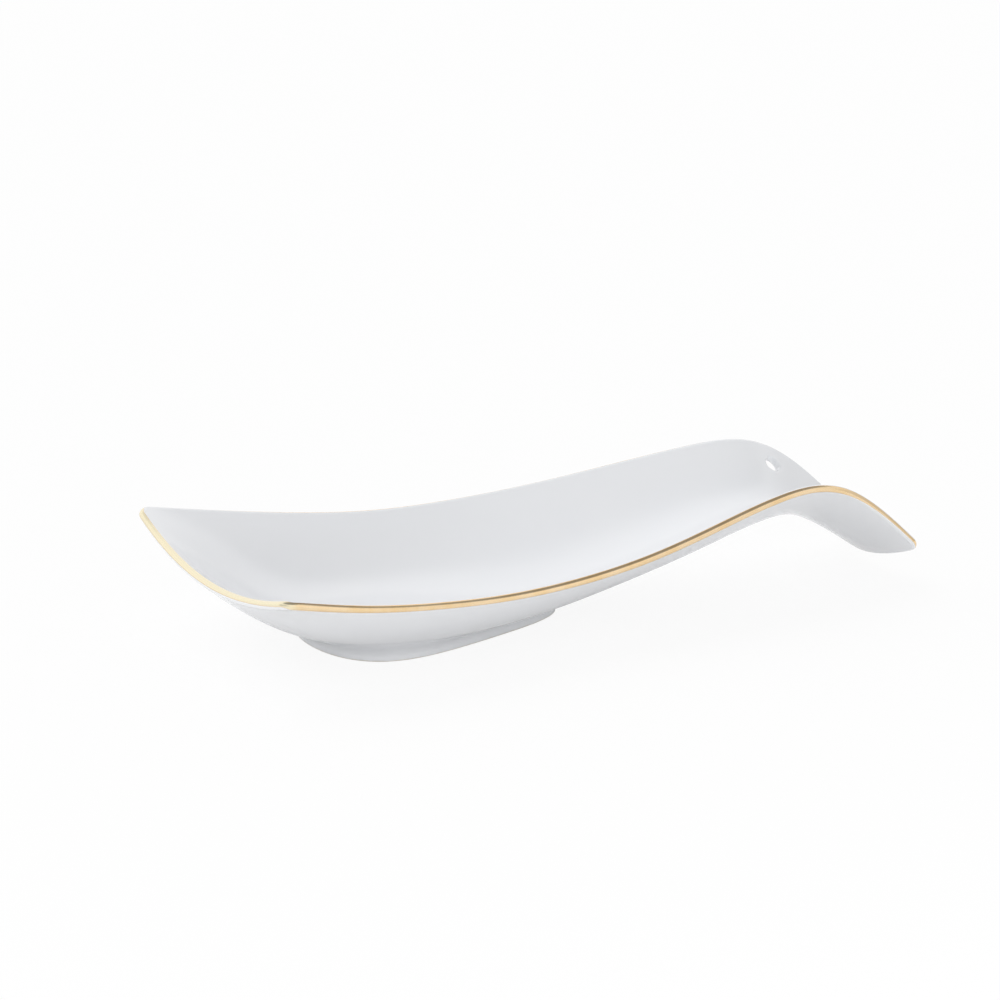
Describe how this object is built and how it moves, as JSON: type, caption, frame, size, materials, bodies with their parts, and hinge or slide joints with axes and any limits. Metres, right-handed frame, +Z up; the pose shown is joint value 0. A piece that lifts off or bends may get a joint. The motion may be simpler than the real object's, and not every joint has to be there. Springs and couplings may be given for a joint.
{
  "type": "spoon rest",
  "caption": "Long porcelain spoon rest: a wide bowl that narrows to a raised channel and turns down at the tail, on an egg-shaped foot, with a gold band on its lip and a hanging hole.",
  "frame": {"origin": "on the table, under the middle of the overall length and width", "axes": "+X along the length from the bowl to the tail, +Y to the back edge with the hanging hole, +Z up from the foot"},
  "size_m": [0.2744, 0.1306, 0.043],
  "materials": {
    "porcelain": "glossy clear glaze on white porcelain",
    "foot": "glazed sides and a bare, fine-ground standing face",
    "gold": "bright fired gold lustre"
  },
  "bodies": {
    "root": {"dish": "porcelain", "foot_ring": "foot", "gold_rim": "gold"}
  },
  "joints": []
}
